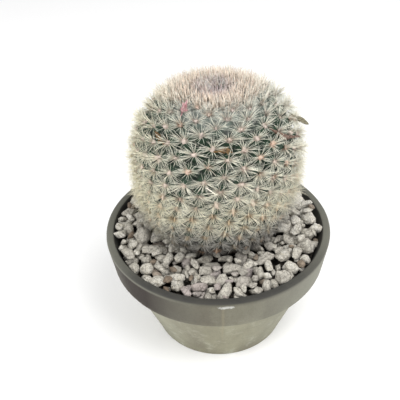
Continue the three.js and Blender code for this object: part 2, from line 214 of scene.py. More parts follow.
# At the back it is banked up the wall as well, from this y on and between these radii
WALL_BANK = 1.2
BANK_FRONT = -25.0
BANK_RADII = (56.0, 66.0)
# How far a stone settles, as a share of the way from first touch to where a quarter of it would rest
BEDDING = 0.15
# The noted stones' level, how far the rest may reach above it, and the highest that any may reach
NOTED_LEVEL = 76.3
PILE_DEPTH = 3.8
HIGHEST_STONE = 82.5
# Clear room round the plant's axis, which is taken at this height from the rim
FOOT_ROOM = 38.0
FOOT_LEVEL = -4.0
# Where the wall's width is taken for a stone's places, and how far every point stays off the wall
WALL_LEVEL = 76.0
WALL_ROOM = 0.15
PLACES_TRIED = 14
# Only small stones are brown; the rest are painted paler towards the sides, more on the right, as painted
# light
BROWN_LIMIT = 2.9
BROWN_SHARE = 0.1
PAINTED_LIGHT_LEFT = 0.32
PAINTED_LIGHT_RIGHT = 0.48
# The levels that stones settle on are kept on a square grid
GRID_STEP = 0.6
GRID = -72.0 + GRID_STEP * np.arange(242)

# The camera that the photograph was taken with, for a frame of 400 by 400 pixels
FRAME_PIXELS = 400.0
FOCAL_PIXELS = 700.0
CAMERA_ELEVATION = math.radians(37.48)
CAMERA_ROLL = math.radians(-2.23)
RIM_CENTRE_DEPTH = 471.1
RIM_CENTRE_PIXEL = (217.7, 223.4)
SENSOR_WIDTH = 36
# The studio, in metres: the lamps with their places and sizes, what they aim at, and half the floor
LAMPS = {"key": ((0.45, -0.35, 0.95), 0.7), "fill": ((-0.7, -0.5, 0.7), 0.8)}
LAMP_AIM = Vector((0, 0, 0.1))
FLOOR_HALF = 4.0

# What a kind of node is set to, unless a call says more
NODE_SETTINGS = {"Mix": {"data_type": "RGBA"}, "Math": {"operation": "MULTIPLY"}}


def linear(text):
    """An sRGB hex colour as linear red, green, blue and alpha."""
    channels = [int(text[i : i + 2], 16) / 255 for i in (1, 3, 5)]
    return (*(c / 12.92 if c <= 0.04045 else ((c + 0.055) / 1.055) ** 2.4 for c in channels), 1.0)


def add_node(tree, kind, links=(), stops=(), out=None, **settings):
    """Adds a node and returns one of its outputs, the first one unless another is named.

    Links feed its inputs by name or in Blender's order, with sockets, values or hex colours. Stops
    are a ramp's. A mix node mixes colours and a math node multiplies, unless settings say more.
    """
    made = tree.nodes.new("ShaderNode" + kind)
    for key, value in {**NODE_SETTINGS.get(kind, {}), **settings}.items():
        setattr(made, key, value)
    for _ in stops[2:]:
        made.color_ramp.elements.new(0.5)
    for i, (position, colour) in enumerate(stops):
        made.color_ramp.elements[i].position = position
        made.color_ramp.elements[i].color = linear(colour)
    if not isinstance(links, dict):
        links = dict(zip([i for i, socket in enumerate(made.inputs) if socket.enabled], links))
    for key, value in links.items():
        if isinstance(value, bpy.types.NodeSocket):
            tree.links.new(value, made.inputs[key])
        else:
            made.inputs[key].default_value = linear(value) if isinstance(value, str) else value
    return made.outputs[out] if out else next(socket for socket in made.outputs if socket.enabled)


def new_material(name, roughness, ior, *values):
    """A named material, what adds a node to it, its object coordinates and the points' values."""
    material = bpy.data.materials.new(name)
    material.use_nodes = True
    inputs = material.node_tree.nodes["Principled BSDF"].inputs
    inputs["Roughness"].default_value = roughness
    inputs["IOR"].default_value = ior
    add = functools.partial(add_node, material.node_tree)
    read = [add("Attribute", out="Fac", attribute_name=value) for value in values]
    return material, add, add("TexCoord", out="Object"), *read


def surface(material, colour, *reliefs):
    """Gives a material its colour and its relief: each layer is a height, a strength and a depth."""
    tree = material.node_tree
    inputs = tree.nodes["Principled BSDF"].inputs
    tree.links.new(colour, inputs["Base Color"])
    normal = inputs["Normal"]
    for height, strength, depth in reversed(reliefs):
        bump = add_node(tree, "Bump", {"Height": height, "Strength": strength, "Distance": depth})
        tree.links.new(bump, normal)
        normal = bump.node.inputs["Normal"]
    return material


def fired_clay():
    """Unglazed grey-olive terracotta, wheel-smoothed: a dry matt skin with lime bloom, a water streak, and
    the painted shadow of a hand on the collar.
    """
    material, add, place, outside, inside, damp = new_material(
        "unglazed_fired_clay", 0.86, 1.5, "outside", "inside", "damp")
    pan = bpy.context.scene.clay_pan
    x, y, z = add("SeparateXYZ", (place,)).node.outputs

    # The collar is a little darker than the tapered body, which lime has bleached
    collar = add("MapRange", (z, 0.046, 0.060))
    clay = add("Mix", (collar, pan.body_colour, pan.collar_colour))
    # Cloudy blotches about 25 mm across, stretched down the wall as water runs
    stretched = add("Mapping", {"Vector": place, "Scale": (1.0, 1.0, 0.45)})
    clouds = add("TexNoise", (stretched, 40, 5, 0.62))
    tone = add("ValToRGB", (clouds,), [(0.30, "#86796c"), (0.50, "#c3c1b6"), (0.72, "#efeee6")])
    clay = add("Mix", (0.46, clay, tone), blend_type="OVERLAY")
    # White lime bloom gathers in patches low on the body
    bloom = add("MapRange", (add("TexNoise", (place, 85, 8, 0.7)), 0.53, 0.74))
    bloom = add("Math", (bloom, add("MapRange", (z, 0.075, 0.012, 0, 0.5))))
    clay = add("Mix", (bloom, clay, "#c9cabd"))
    # Both sides, left and right, are mixed towards a paler grey
    aside = add("Math", (x,), operation="ABSOLUTE")
    clay = add("Mix", (add("MapRange", (aside, 0.01, 0.065, 0, 0.6)), clay, "#8f9086"))

    # Painted shadow of the hand that held the pan, with its brown reflection: dark brown on the left of the
    # collar, even in front and in blotches at the back
    hand_shadow = add("MapRange", (clouds, 0.4, 0.62, 0.15, 0.8))
    hand_shadow = add("Math", (hand_shadow, add("MapRange", (y, 0.01, -0.045))), operation="MAXIMUM")
    for share in (add("MapRange", (x, -0.006, -0.047)), outside, collar):
        hand_shadow = add("Math", (hand_shadow, share))
    clay = add("Mix", (hand_shadow, clay, "#2a221c"))
    # Fine dark specks of grog 0.8 mm across
    specks = add("TexNoise", (place, 1200, 3, 0.6))
    tone = add("ValToRGB", (specks,), [(0.30, "#6f6d66"), (0.46, "#bdbbb2"), (0.70, "#d9d8d0")])
    clay = add("Mix", (0.22, clay, tone), blend_type="OVERLAY")

    # The scar of a label that has come off: an ellipse whose edge has torn
    ragged = add("TexNoise", (place, 420, 6, 0.75))
    azimuth = add("Math", (y, x), operation="ARCTAN2")
    wide = add("MapRange", (azimuth, SCAR_AZIMUTH, SCAR_AZIMUTH + SCAR_HALF_ANGLE), clamp=False)
    tall = add("MapRange", (z, SCAR_HEIGHT, SCAR_HEIGHT + SCAR_HALF_HEIGHT), clamp=False)
    spot = add("CombineXYZ", (wide, tall))
    ring = add("VectorMath", (spot, spot), operation="DOT_PRODUCT")
    ring = add("Math", (ragged, 5.0, ring), operation="MULTIPLY_ADD")
    scar = add("Math", (add("MapRange", (ring, 3.5, 2.9, 0, 0.9)), outside))
    # Water has drawn a tan streak below it
    wander = add("Math", (ragged, 0.6, 0.1), operation="MULTIPLY_ADD")
    wander = add("Math", (wide, wander), operation="ADD")
    streak = add("MapRange", (add("Math", (wander,), operation="ABSOLUTE"), 0.24, 0.08, 0, 0.2))
    streak = add("Math", (streak, add("MapRange", (z, 0.016, 0.045))))
    streak = add("Math", (streak, add("MapRange", (z, SCAR_HEIGHT, SCAR_HEIGHT - 0.002))))
    clay = add("Mix", (streak, clay, "#9c8f70"))

    # The lip and the inner wall are dark with damp and algae, the lip less so at the sides and back
    wet = add("Math", (add("MapRange", (y, -0.06, -0.02, 1.0, 0.5)), inside), operation="MAXIMUM")
    wet = add("Math", (wet, add("Math", (clouds, 0.5, 0.68), operation="MULTIPLY_ADD")))
    clay = add("Mix", (add("Math", (damp, wet), use_clamp=True), clay, pan.lip_colour))
    clay = add("Mix", (scar, clay, "#bdbdb8"))
    return surface(material, clay, (specks, 0.25, 0.0004), (clouds, 0.3, 0.0012))


def crumbs_of(name, stops):
    """Damp crumbs, sieved: dark grains 2 to 3 mm across, each of its own tone."""
    material, add, place = new_material(name, 0.95, 1.45)
    crumbs = add("TexVoronoi", (place, 380))
    tone = add("ValToRGB", (crumbs.node.outputs["Color"],), stops)
    return surface(material, tone, (crumbs, 0.8, 0.002))


def pumice():
    """Broken pumice, sieved and dusty: chalky pale grey, with painted shade in its gas holes and cracks and
    on its undersides.
    """
    material, add, place, tint, under = new_material("broken_pumice", 0.93, 1.5, "tint", "under")
    stone = add("ValToRGB", (tint,), [
        (0.00, "#79695a"), (0.04, "#8e8172"), (0.09, "#9a9086"), (0.17, "#a9a09e"),
        (0.30, "#b2aea5"), (0.50, "#c0bcb2"), (0.75, "#cfcbc1"), (1.00, "#e2ded4")])
    clouds = add("TexNoise", (place, 330, 7, 0.75))
    tone = add("ValToRGB", (clouds,), [(0.34, "#5e5a55"), (0.50, "#bdbbb7"), (0.66, "#e2e0dc")])
    stone = add("Mix", (0.45, stone, tone), blend_type="OVERLAY")
    # Gas holes 0.8 mm across, drawn a little coarser than life so that they show, painted dark as shade in
    # the holes
    pits = add("TexVoronoi", (place, 850))
    stone = add("Mix", (add("MapRange", (pits, 0.34, 0.12, 0, 0.5)), stone, "#5f584f"))
    # Wandering cracks about 3 mm apart, where the froth has torn, painted dark as shade in the cracks
    wander = add("TexNoise", (place, 420, 3), out="Color")
    wander = add("VectorMath", (wander, 0.003), operation="SCALE")
    torn = add("VectorMath", (place, wander), operation="ADD")
    cracks = add("TexVoronoi", (torn, 330), feature="DISTANCE_TO_EDGE")
    stone = add("Mix", (add("MapRange", (cracks, 0.07, 0.01, 0, 0.6)), stone, "#453f38"))
    # Painted shade on the undersides, darkest at the bottom
    stone = add("Mix", (under, stone, "#221d19"))
    return surface(material, stone, (clouds, 0.8, 0.0016), (cracks, 0.5, 0.0008), (pits, 0.45, 0.0004))


def plant_skin():
    """Living cactus skin, waxy: deep blue-green flanks with painted shade in the hollows, paler new growth,
    corky brown at the foot deepened by painted shade.
    """
    material, add, place, relief, age = new_material("waxy_green_skin", 0.52, 1.45, "relief", "age")
    plant = bpy.context.scene.cactus_plant
    clouds = add("TexNoise", (place, 260, 4))
    # Painted shade: near black in the hollows between tubercles, green on their tops
    skin = add("Mix", (relief, plant.shaded_hollow_colour, plant.skin_colour))
    skin = add("Mix", (0.35, skin, clouds), blend_type="OVERLAY")
    skin = add("Mix", (add("MapRange", (age, 0.30, 0.08, 0, 0.85)), skin, plant.crown_colour))
    # Corky brown at the foot, deepened by painted shade under the bulge
    skin = add("Mix", (add("MapRange", (age, 0.80, 1.0)), skin, "#211b16"))
    return surface(material, skin, (clouds, 0.25, 0.0006))


def areole_felt():
    """Short felt on the areoles, matted: it scatters light and reads as a soft cream-pink dot."""
    material, add, place, age, blush = new_material("areole_felt", 1.0, 1.45, "age", "blush")
    # Towards the foot the felt darkens: partly with age, partly as painted shade under the bulge
    felt = add("ValToRGB", (age,), [
        (0.00, "#cfc4be"), (0.25, "#cebfb6"), (0.60, "#d4c4b7"), (0.74, "#dac4a2"), (0.90, "#9b917e"),
        (1.00, "#716a5f")])
    felt = add("Mix", (add("MapRange", (blush, 0.75, 1.0, 0, 0.5)), felt, "#dcb294"))
    fluff = add("TexNoise", (place, 1800, 4))
    felt = add("Mix", (0.3, felt, fluff), blend_type="OVERLAY")
    return surface(material, felt, (fluff, 0.8, 0.0005))


def spine_horn(name, root_stops, shaft_stops, darkest, tip=None):
    """Spine horn, as grown: satin ivory that warms towards the root and with age."""
    material, add, place, length, age, tint, blush = new_material(
        name, 0.5, 1.5, "length", "age", "tint", "blush")
    root = add("ValToRGB", (age,), root_stops)
    root = add("Mix", (add("MapRange", (blush, 0.72, 1.0, 0, 0.7)), root, "#d6ad8c"))
    root = add("Mix", (add("MapRange", (blush, 0.38, 0.0, 0, 0.85)), root, "#e8e4da"))
    shaft = add("ValToRGB", (age,), shaft_stops)
    horn = add("Mix", (add("MapRange", (length, 0.06, 0.38)), root, shaft))
    if tip:
        # Some of the youngest spines have not lost the red-brown of their tips
        ripe = add("MapRange", (blush, 0.55, 0.7, 0, 0.85))
        ripe = add("Math", (ripe, add("MapRange", (length, 0.45, 0.9))))
        horn = add("Mix", (ripe, horn, tip))
    # The left side is mixed towards pale cream: partly yellowed, partly painted light on the left
    yellowed_and_lit = add("MapRange", (add("SeparateXYZ", (place,)), -0.022, -0.055, 0, 0.4))
    horn = add("Mix", (yellowed_and_lit, horn, "#f6eec6"))
    # Each spine is darkened at random down to the darkest share: partly its own tone, partly painted shade
    # between crowded spines
    shade = add("MapRange", (tint, 0, 1, darkest, 1.08))
    return surface(material, add("Mix", (1.0, horn, shade), blend_type="MULTIPLY"))


def dried_petal(name, pale, dark):
    """Petal or skin of what has flowered, sun-dried: papery, with pale fibres on dark."""
    material, add, place = new_material(name, 0.8, 1.45)
    fibres = add("TexNoise", (place, 700, 6, 0.7))
    tone = add("ValToRGB", (fibres,), [(0.32, dark), (0.66, pale)])
    return surface(material, tone, (fibres, 0.7, 0.0005))


def pale_floor():
    """A matt painted board, plain and nearly white."""
    material, add, place = new_material("matt_white_board", 0.9, 1.45)
    shade = bpy.context.scene.studio.floor_shade
    clouds = add("MapRange", (add("TexNoise", (place, 3)), 0.2, 0.8, shade, shade + 0.01))
    return surface(material, clouds)


def new_piece(name, points, faces, material, slot, node, **values):
    """A smooth piece from points in millimetres, in the place of a node, with values at its points."""
    mesh = bpy.data.meshes.new(name)
    mesh.from_pydata((points * MM).tolist(), [], faces)
    mesh.polygons.foreach_set("use_smooth", [True] * len(mesh.polygons))
    for key, numbers in values.items():
        layer = mesh.attributes.new(key, "FLOAT", "POINT")
        layer.data.foreach_set("value", np.asarray(numbers, dtype=np.float32))
    mesh.materials.append(material)
    mesh.update()
    piece = bpy.data.objects.new(name, mesh)
    bpy.context.scene.collection.objects.link(piece)
    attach(piece, "root")
    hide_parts(node)


def plant_piece(name, built, material):
    """A piece of the plant from its points, its faces and its values."""
    points, faces, values = built
    new_piece(name, points, faces, material, "plant_body", "cactus", **values)


def joined(parts):
    """The points and the faces of several parts as those of one mesh."""
    points, faces, start = [], [], 0
    for part_points, part_faces in parts:
        points.append(part_points)
        faces += [tuple(start + corner for corner in face) for face in part_faces]
        start += len(part_points)
    return np.concatenate(points), faces


def grid_faces(rows, columns, closed_rows=False):
    """Quads of a grid whose columns run all the way round, and whose rows may close too."""
    faces = []
    for i in range(rows if closed_rows else rows - 1):
        below, above = i * columns, (i + 1) % rows * columns
        for j in range(columns):
            k = (j + 1) % columns
            faces.append((below + j, below + k, above + k, above + j))
    return faces


def capped_faces(rows, columns):
    """Faces of such a grid that closes at both ends on a point, the two points after the rest."""
    faces = grid_faces(rows, columns)
    first, last = rows * columns, rows * columns + 1
    for j in range(columns):
        k = (j + 1) % columns
        faces += [(k, j, first), (first - columns + j, first - columns + k, last)]
    return faces


def icosphere(divisions):
    """Unit directions and faces of a ball of even triangles."""
    ball = bmesh.new()
    bmesh.ops.create_icosphere(ball, subdivisions=divisions, radius=1.0)
    points = np.array([vertex.co[:] for vertex in ball.verts])
    faces = [tuple(vertex.index for vertex in face.verts) for face in ball.faces]
    ball.free()
    return points, faces


def ramp(value, start, end):
    """How far a value has come from a start to an end, as a share between 0 and 1."""
    return np.clip((value - start) / (end - start), 0, 1)


def unit(vectors):
    """Vectors scaled to length one."""
    return vectors / np.linalg.norm(vectors, axis=-1, keepdims=True)


def round_angles(count):
    """Angles spaced evenly round a full turn."""
    return np.arange(count) * 2 * np.pi / count


def about_axis(azimuth, out, up):
    """Points or directions from their azimuth, and how far out and up they go."""
    return np.stack(np.broadcast_arrays(out * np.cos(azimuth), out * np.sin(azimuth), up), -1)


def arc(centre, radius, start, end, steps):
    """Points of an arc in a profile, from one angle to another in degrees."""
    angles = np.radians(np.linspace(start, end, steps))
    return np.stack([centre[0] + radius * np.cos(angles), centre[1] + radius * np.sin(angles)], -1)


def straight(start, end, step):
    """Points along a straight stretch of a profile, its ends included."""
    return np.linspace(start, end, max(2, int(math.dist(start, end) / step) + 1))


def inner_radius(height):
    """Radius of the pan's inner wall, which tapers as its outside does."""
    pan = bpy.context.scene.clay_pan
    taper = (NECK_RADIUS - FOOT_RADIUS) / (POT_HEIGHT - pan.collar_height / MM)
    return RIM_RADIUS - pan.lip_width / MM - taper * (POT_HEIGHT - height)


def spacing_at(along):
    """Distance between tubercles, closer together on the young crown."""
    spacing = bpy.context.scene.cactus_plant.tubercle_spacing / MM
    return CROWN_SPACING + (spacing - CROWN_SPACING) * ramp(along, 0, CROWN_REACH)


def body_outline():
    """The plant's outline from crown to foot, its normals, and distance, age and tubercles along it."""
    widest = bpy.context.scene.cactus_plant.body_radius / MM
    upper = np.pi / 2 * (1 - np.arange(1, OUTLINE_STEPS + 1) / OUTLINE_STEPS)
    radius = widest * np.cos(upper) ** (2 / CROWN_POWER)
    dimple = DIMPLE_DEPTH * np.clip(1 - (radius / DIMPLE_RADIUS) ** 2, 0, None) ** 2
    height = WIDEST_HEIGHT + CROWN_RISE * np.sin(upper) ** (2 / CROWN_POWER) - dimple
    lower = np.pi / 2 * np.arange(1, OUTLINE_STEPS) / OUTLINE_STEPS
    under_radius = widest * np.cos(lower) ** (2 / UNDERSIDE_POWER)
    under_height = WIDEST_HEIGHT - UNDERSIDE_DROP * np.sin(lower) ** (2 / UNDERSIDE_POWER)
    under = np.stack([under_radius, under_height], -1)[under_height > UNDERSIDE_END]
    line = np.concatenate([np.stack([radius, height], -1), under, NECK_RINGS])

    steps = np.diff(line, axis=0)
    run = np.hypot(*steps.T)
    along = line[0, 0] + np.concatenate([[0], np.cumsum(run)])
    # Each tubercle has a cell of a six-sided pattern to itself
    cell = spacing_at(along[1:]) ** 2 * math.sqrt(3) / 2
    ring = np.pi * (line[1:, 0] + line[:-1, 0])
    count = np.concatenate([[0], np.cumsum(ring * run / cell)])
    normal = np.stack([-steps[:, 1], steps[:, 0]], -1) / run[:, None]
    normal = np.concatenate([[[0.0, 1.0]], normal])
    age = np.clip(along / along[line[:, 1] > LOWEST_TUBERCLE][-1], 0, 1)
    return line, normal, along, age, count


def outline_at(reach):
    """Radius, height, outward direction and age at distances along the outline."""
    line, normal, along, age, _ = body_outline()
    return [np.interp(reach, along, column) for column in (*line.T, *normal.T, age)]


def plant_point(azimuth, radius, height):
    """A point of the plant about its own leaning axis."""
    rise = np.asarray(height - POT_HEIGHT)[..., None]
    return PLANT_PLACE + PLANT_LEAN * rise + about_axis(azimuth, radius, height)


def seat(azimuth, height, stand):
    """A point outside the plant, and the outward direction there."""
    line, normal, _, _, _ = body_outline()
    sample = np.nonzero(line[:, 1] > height)[0][-1]
    azimuth = np.radians(azimuth)
    outward = about_axis(azimuth, *normal[sample])
    return plant_point(azimuth, *line[sample]) + outward * stand, outward


def tubercles():
    """Place, outward axis, spacing and stage of growth of every tubercle, set out along one spiral."""
    line, normal, along, age, count = body_outline()
    last = count[line[:, 1] > LOWEST_TUBERCLE][-1]
    number = np.arange(math.ceil(last - FIRST_TUBERCLE))
    sample = np.searchsorted(count, number + FIRST_TUBERCLE)
    azimuth = SPIRAL_START + number * DIVERGENCE
    along, age = along[sample], age[sample]
    random = np.random.default_rng(3)
    axis = about_axis(azimuth, *normal[sample].T)
    return {
        "place": plant_point(azimuth, *line[sample].T),
        "axis": unit(axis + random.normal(0, AXIS_SPREAD, axis.shape)),
        "azimuth": azimuth,
        "spacing": spacing_at(along),
        "age": age,
        "crown": ramp(along, CROWN_END, 0),
        "shoulder": ramp(np.abs(along - SHOULDER), SHOULDER_HALF, 0),
        "old": ramp(age, *OLD_AGES),
        "foot": ramp(age, *FOOT_AGES),
        "blush": random.random(len(number)),
        "vigour": random.uniform(*VIGOUR, len(number)),
    }


def part_of(tips, chosen):
    """The tubercles that a test has chosen."""
    return {key: values[chosen] for key, values in tips.items()}


def plant_surface():
    """The plant body: its outline turned, and drawn in between the tubercles."""
    along = body_outline()[2]
    steps = np.linspace(along[0], along[-1], BODY_ROWS)
    radius, height, out, up, age = (column[:, None] for column in outline_at(steps))
    azimuth = round_angles(BODY_COLUMNS)
    place = plant_point(azimuth, radius, height).reshape(-1, 3)
    outward = about_axis(azimuth, out, up).reshape(-1, 3)
    tips = tubercles()
    nearest = np.full(len(place), np.inf)
    owner = np.zeros(len(place), dtype=int)
    for index, tip in enumerate(tips["place"]):
        distance = np.linalg.norm(place - tip, axis=1) / tips["spacing"][index]
        closer = distance < nearest
        nearest[closer] = distance[closer]
        owner[closer] = index
    fall = np.clip((nearest - TUBERCLE_TOP) / TUBERCLE_SLOPE, 0, 1.2) ** SLOPE_CURVE
    depth = bpy.context.scene.cactus_plant.tubercle_relief * tips["spacing"][owner]
    depth = depth * np.repeat(ramp(height, *RELIEF_LEVELS), BODY_COLUMNS)
    ends = plant_point(0, 0, height[[0, -1], 0])
    points = np.concatenate([place - outward * (depth * fall)[:, None], ends])
    faces = [face[::-1] for face in capped_faces(BODY_ROWS, BODY_COLUMNS)]
    return points, faces, {
        "relief": np.append(1 - fall.clip(0, 1), [1, 0]),
        "age": np.append(np.repeat(age, BODY_COLUMNS), [0, 1]),
    }


def needles(root, start, end, length, width, age, tint, blush):
    """Tapered three-sided needles that bend from one direction to another, with their values."""
    late = NEEDLE_LEVELS[:, None] ** 2 / 2
    bent = start[:, None] * (NEEDLE_LEVELS[:, None] - late) + end[:, None] * late
    centre = root[:, None] + bent * length[:, None, None]
    tangent = unit(start + end)
    upright = np.where(np.abs(tangent[:, 2:]) < 0.9, [[0.0, 0.0, 1.0]], [[1.0, 0.0, 0.0]])
    side = unit(np.cross(tangent, upright))
    other = np.cross(tangent, side)
    turn = round_angles(3)[:, None]
    ring = side[:, None] * np.cos(turn) + other[:, None] * np.sin(turn)
    radius = width[:, None] / 2 * NEEDLE_SWELL
    rings = centre[:, :2, None] + ring[:, None] * radius[..., None, None]
    shapes = np.concatenate([rings.reshape(-1, NEEDLE_POINTS - 1, 3), centre[:, 2:]], 1)
    pattern = [(0, 1, 2)]
    for j, k in ((0, 1), (1, 2), (2, 0)):
        pattern += [(j, 3 + j, 3 + k, k), (3 + j, 6, 3 + k)]
    values = {"age": age, "tint": tint, "blush": blush}
    values = {key: np.repeat(each, NEEDLE_POINTS) for key, each in values.items()}
    values["length"] = np.tile(np.repeat(NEEDLE_LEVELS, (3, 3, 1)), len(root))
    return *joined([(shape, pattern) for shape in shapes]), values


def is_clear(root, start, end, length, random):
    """Whether each spine keeps clear of the remains and of the worn spots."""
    middle = root + (start * 0.7 + end * 0.3) * (0.6 * length)[:, None]
    tip = root + (start + end) / 2 * length[:, None]
    clear = np.ones(len(root), dtype=bool)
    for _, chain in REMAINS.values():
        seats = [seat(*point) for point in chain]
        for (first, out), (last, _) in zip(seats, seats[1:]):
            run = last - first
            for reach in REMAINS_REACH:
                base = first + out * reach
                for spot in (middle, tip):
                    share = np.clip((spot - base) @ run / (run @ run), 0, 1)
                    distance = np.linalg.norm(spot - base - share[:, None] * run, axis=1)
                    clear &= distance > REMAINS_ROOM
    for azimuth, height, radius in WORN_SPOTS:
        place, _ = seat(azimuth, height, 2.0)
        bare = np.linalg.norm(middle - place, axis=1) < radius
        clear &= ~(bare & (random.random(len(root)) < WORN_SHARE))
    return clear


def areole_frame(tips):
    """Two directions across each areole, the second one towards the crown."""
    across = np.stack([-np.sin(tips["azimuth"]), np.cos(tips["azimuth"]), 0 * tips["azimuth"]], -1)
    return across, np.cross(tips["axis"], across)


def fan(tips, random, per, elevation, spread, bend, length, width, reach, sag=0.0, pull=SIDEWAYS_PULL):
    """Spines fanned round the areoles, with values for each areole or one for all.

    Per is how many an areole has, elevation, spread and bend are in degrees, reach is how far from
    its middle they stand, and sag how much they hang.
    """
    per = np.round(per * tips["vigour"]).astype(int)
    owner = np.repeat(np.arange(len(per)), per)
    elevation, sag, length, width = (
        np.broadcast_to(value, len(per))[owner] for value in (np.radians(elevation), sag, length, width))
    across, upward = (frame_axis[owner] for frame_axis in areole_frame(tips))
    axis, vigour = tips["axis"][owner], tips["vigour"][owner]
    share = np.concatenate([np.arange(n) / n for n in per])
    bearing = 2 * np.pi * (share + random.random(len(per))[owner])
    bearing += random.normal(0, 0.3, len(owner))
    bearing -= pull * np.sin(2 * bearing)
    flat = across * np.cos(bearing)[:, None] + upward * np.sin(bearing)[:, None]
    rise = elevation + random.normal(0, math.radians(spread), len(owner))
    start, end = (
        flat * np.cos(angle)[:, None] + axis * np.sin(angle)[:, None]
        for angle in (rise + math.radians(bend), rise - math.radians(bend)))
    drop = sag[:, None] * upward
    start, end = unit(start - 0.5 * drop), unit(end - drop + random.normal(0, CURL, end.shape))
    root = tips["place"][owner] + flat * reach - axis * ROOT_DEPTH
    length = length * random.uniform(*LENGTH_RANGE, len(owner)) * vigour**0.4
    length *= 1 - UPRIGHT_LOSS * np.sin(bearing) ** 2
    width = width * random.uniform(*WIDTH_RANGE, len(owner))
    climb = np.maximum(start[:, 2], end[:, 2]).clip(0.05)
    length = np.minimum(length, (SPINE_TOP - root[:, 2]) / climb)
    tint = random.random(len(owner))
    kept = is_clear(root, start, end, length, random)
    values = (root, start, end, length, width, tips["age"][owner], tint, tips["blush"][owner])
    return needles(*(value[kept] for value in values))


def bed_rise(x, y):
    """How much higher the gravel lies at a place: behind the plant, and up the wall there."""
    bank = WALL_BANK * ramp(np.hypot(x, y), *BANK_RADII) * ramp(y, BANK_FRONT, 0)
    return BACK_RISE * ramp(y, RISE_FRONT, 0) + bank


def along_stone(x, y, turn):
    """The same place measured along a stone and across it."""
    return x * math.cos(turn) + y * math.sin(turn), y * math.cos(turn) - x * math.sin(turn)


def near_noted(x, y, room):
    """Whether a point lies over a noted stone, or nearer to it than the room asked for."""
    for x0, y0, turn, a, b in NOTED_STONES:
        u, v = along_stone(x - x0, y - y0, math.radians(turn))
        if math.hypot(u / (a + room), v / (b + room)) < 1:
            return True
    return False


def resting_place(level, x, y, turn, size):
    """How high a stone comes to rest on those below it, and its footprint in the grid of levels."""
    a, b, c = size
    window = tuple(
        slice(int((at - a - GRID[0]) / GRID_STEP), int((at + a - GRID[0]) / GRID_STEP) + 2) for at in (x, y))
    u, v = along_stone(GRID[window[0]][:, None] - x, GRID[window[1]] - y, turn)
    inside = 1 - (u / a) ** 2 - (v / b) ** 2
    under = inside > 0
    half = c * np.sqrt(inside.clip(0))
    rest = (level[window] + half)[under]
    return (1 - BEDDING) * rest.max() + BEDDING * np.quantile(rest, 0.75), window, half, under


def free_places(size, random):
    """A few random places for a stone, clear of the plant's foot and of the noted stones."""
    axis = PLANT_PLACE + PLANT_LEAN * FOOT_LEVEL
    places = []
    while len(places) < PLACES_TRIED:
        radius = (inner_radius(WALL_LEVEL) - 0.65 * size[0]) * math.sqrt(random.random())
        bearing = random.uniform(0, 2 * np.pi)
        x, y, turn = radius * math.cos(bearing), radius * math.sin(bearing), random.uniform(0, np.pi)
        from_axis = math.hypot(x - axis[0], y - axis[1])
        if from_axis > FOOT_ROOM + 0.7 * size[1] and not near_noted(x, y, 0.6 * size[1]):
            places.append((x, y, turn))
    return places


def settle_stones(sizes, random):
    """Drops stones one by one into the lowest of a few random places: centre, turn and half sizes.

    The noted stones go in at their own places, before the last quarter of the rest.
    """
    level = BED_LEVEL + bed_rise(GRID[:, None], GRID)
    order = [(size, None) for size in sizes]
    late = len(sizes) * 3 // 4
    order[late:late] = [((a, b, 0.85 * b), (x, y, math.radians(turn))) for x, y, turn, a, b in NOTED_STONES]
    settled = []
    for size, fixed in order:
        places = [fixed] if fixed else free_places(size, random)
        found = [(resting_place(level, *place, size), place) for place in places]
        (height, window, half, under), (x, y, turn) = min(
            found, key=lambda item: item[0][0] - bed_rise(*item[1][:2]))
        noted_level = NOTED_LEVEL + bed_rise(x, y)
        highest = min(noted_level + PILE_DEPTH, HIGHEST_STONE) - size[2]
        height = noted_level if fixed else min(height, highest)
        level[window] = np.where(under, np.maximum(level[window], height + half), level[window])
        settled.append((x, y, height, turn, *size))
    return settled


def stone_points(directions, half, random):
    """A broken stone: a ball cut back by random planes whose edges are worn round."""
    sides = random.integers(6, 11)
    planes = unit(random.normal(size=(sides, 3)))
    depth = random.uniform(0.55, 1.0, sides)
    pull = np.clip(directions @ planes.T / depth, 0.5, None)
    wear = random.uniform(24, 60)
    radius = np.clip((pull**wear).sum(1) ** (-1 / wear), 0.55, 1.2)
    seed = Vector(random.uniform(0, 100, 3))
    dents, pits, cracks = (
        np.array([noise.noise(Vector(direction) * scale + shift) for direction in directions])
        for scale, shift in ((2.3, seed), (5.5, seed), (3.7, -seed)))
    radius = radius * (0.99 + 0.12 * dents + 0.07 * pits + 0.1 * np.abs(cracks))
    return directions * radius[:, None] * half


def stone_tint(x, breadth, random):
    """A stone's place on the scale from brown to pale, painted paler towards the sides as painted light."""
    tint = random.random()
    if breadth > BROWN_LIMIT:
        tint = max(tint, BROWN_SHARE + 0.5 * tint + 0.02)
    if tint > BROWN_SHARE:
        # Painted light: paler towards the sides, more on the right
        dry = (PAINTED_LIGHT_RIGHT if x > 0 else PAINTED_LIGHT_LEFT) * (abs(x) / RIM_RADIUS) ** 1.5
        tint = min(BROWN_SHARE + 0.72 * (tint - BROWN_SHARE) + dry, 1)
    return tint


def tube(centre, outward, radius, flatness):
    """Points and faces of a flattened, closed tube along a line of centres, with a radius at each point."""
    tangent = unit(np.gradient(centre, axis=0))
    across = unit(np.cross(outward, tangent))
    rise = np.cross(tangent, across)
    angle = round_angles(radius.shape[1])
    ring = across[:, None] * (radius * np.cos(angle))[..., None]
    ring = ring + rise[:, None] * (flatness * radius * np.sin(angle))[..., None]
    points = np.concatenate([(centre[:, None] + ring).reshape(-1, 3), centre[:1], centre[-1:]])
    return points, capped_faces(*radius.shape)


